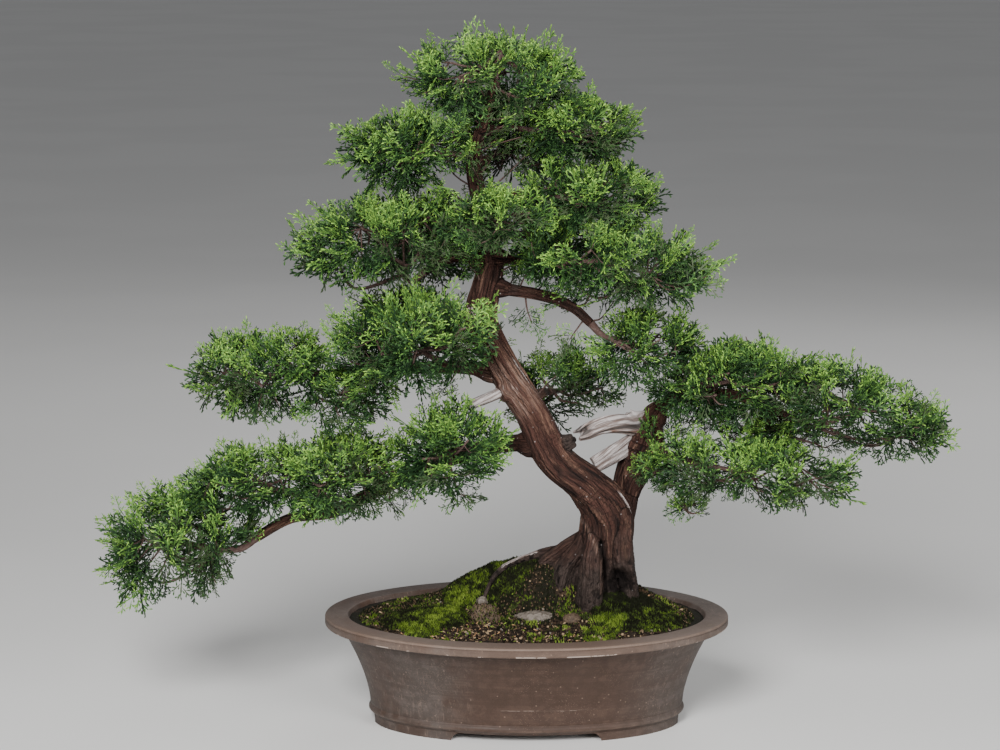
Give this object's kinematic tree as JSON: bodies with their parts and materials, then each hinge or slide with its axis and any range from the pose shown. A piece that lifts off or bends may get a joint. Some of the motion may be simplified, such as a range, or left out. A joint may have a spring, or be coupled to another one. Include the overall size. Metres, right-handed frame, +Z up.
{
  "type": "potted juniper bonsai",
  "caption": "Conifer bonsai with a leaning flared trunk, bleached deadwood, long low boughs and flat pads of scale leaves, growing in mossy soil in an oval stoneware pot.",
  "frame": {"origin": "on the ground under the pot, at the middle of the whole plant's outline seen from above", "axes": "+X to the right as seen from the plant's front, +Y away from the front, +Z up"},
  "size_m": [0.928, 0.3618, 0.7727],
  "materials": {
    "stoneware": "unglazed brown-grey clay, mottled, with worn pale edges",
    "soil": "dark damp grains with tan clay granules",
    "moss": "short matt cushions, yellow-green and dark green",
    "stone": "matt worn stone",
    "bark": "reddish-brown ridged bark in long strips",
    "deadwood": "bleached grey-white grain, split lengthwise",
    "foliage": "matt scale leaves, blue-green inside and yellow-green at the tips"
  },
  "bodies": {
    "root": {"pot": "stoneware", "soil": "soil", "moss_mound": "moss", "moss_left": "moss", "moss_right": "moss", "stone_flat": "stone", "stone_round": "stone", "stone_tan": "stone", "trunk": "bark", "second_trunk": "bark", "surface_root": "bark", "jin_stub": "deadwood", "jin_upper": "deadwood", "jin_lower": "deadwood", "bough_back_left": "bark", "bough_back_low": "bark", "bough_back_mid_left": "bark", "bough_back_mid_right": "bark", "bough_back_right": "bark", "bough_back_upper": "bark", "bough_drop_right": "bark", "bough_front_mid": "bark", "bough_hanging_sprig": "bark", "bough_left": "bark", "bough_left_inner": "bark", "bough_low_left": "bark", "bough_low_left_inner": "bark", "bough_low_left_mid": "bark", "bough_low_left_top": "bark", "bough_mid_left": "bark", "bough_mid_right": "bark", "bough_right": "bark", "bough_right_inner": "bark", "bough_right_lower": "bark", "bough_shoulder_right": "bark", "bough_upper_right": "bark", "foliage_apex": "foliage", "foliage_back_left": "foliage", "foliage_back_low": "foliage", "foliage_back_mid_left": "foliage", "foliage_back_mid_right": "foliage", "foliage_back_right": "foliage", "foliage_back_upper": "foliage", "foliage_drop_right": "foliage", "foliage_front_mid": "foliage", "foliage_hanging_sprig": "foliage", "foliage_left_inner": "foliage", "foliage_left_outer": "foliage", "foliage_low_left_inner": "foliage", "foliage_low_left_mid": "foliage", "foliage_low_left_outer": "foliage", "foliage_low_left_top": "foliage", "foliage_mid_left": "foliage", "foliage_mid_right": "foliage", "foliage_right_inner": "foliage", "foliage_right_lower": "foliage", "foliage_right_outer": "foliage", "foliage_shoulder_right": "foliage", "foliage_upper_left": "foliage", "foliage_upper_right": "foliage"}
  },
  "joints": []
}
